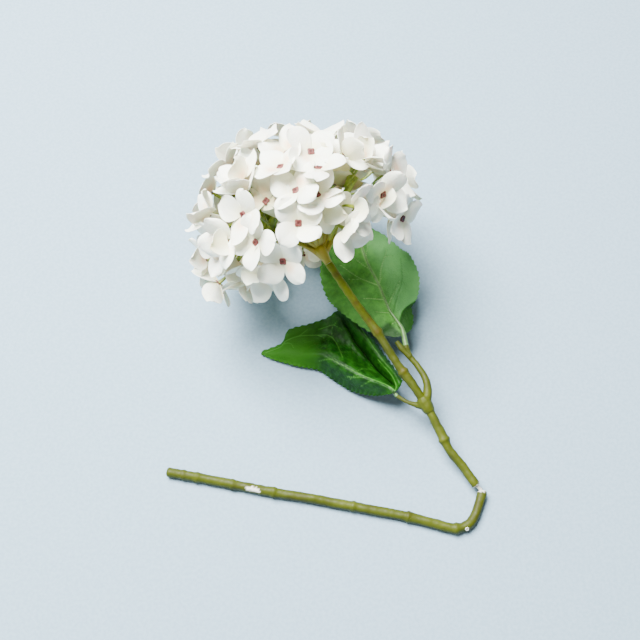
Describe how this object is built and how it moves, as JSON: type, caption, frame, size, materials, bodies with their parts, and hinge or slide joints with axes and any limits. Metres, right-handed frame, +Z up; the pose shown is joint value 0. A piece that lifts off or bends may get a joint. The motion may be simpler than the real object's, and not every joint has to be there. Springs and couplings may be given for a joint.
{
  "type": "artificial hydrangea stem",
  "caption": "Cut hydrangea of cloth and moulded plastic lying on its side: a round white flower head, toothed leaves and a long bent wire stem.",
  "frame": {"origin": "middle of the footprint, on the table under the lying stem", "axes": "+Z up from the table; +Y from the kinked stem towards the flower head; +X towards the kink, so the stem's cut end points to -X"},
  "size_m": [0.2038, 0.2502, 0.1529],
  "materials": {
    "bare_wire": "satin, pale",
    "olive_coat": "moulded, slight sheen",
    "leaf_back": "printed cloth, matt back",
    "leaf_rib": "moulded",
    "leaf_front": "printed cloth, slight sheen",
    "petal_cloth": "thin woven cloth, matt"
  },
  "bodies": {
    "root": {"stem_wire": "bare_wire", "stem_lower": "olive_coat", "stem_upper": "olive_coat", "leaf_collar": "olive_coat", "leaf_1": "leaf_back", "leaf_1_rib": "leaf_rib", "leaf_2": "leaf_front", "leaf_2_rib": "leaf_rib", "flower_head": "petal_cloth"}
  },
  "joints": []
}
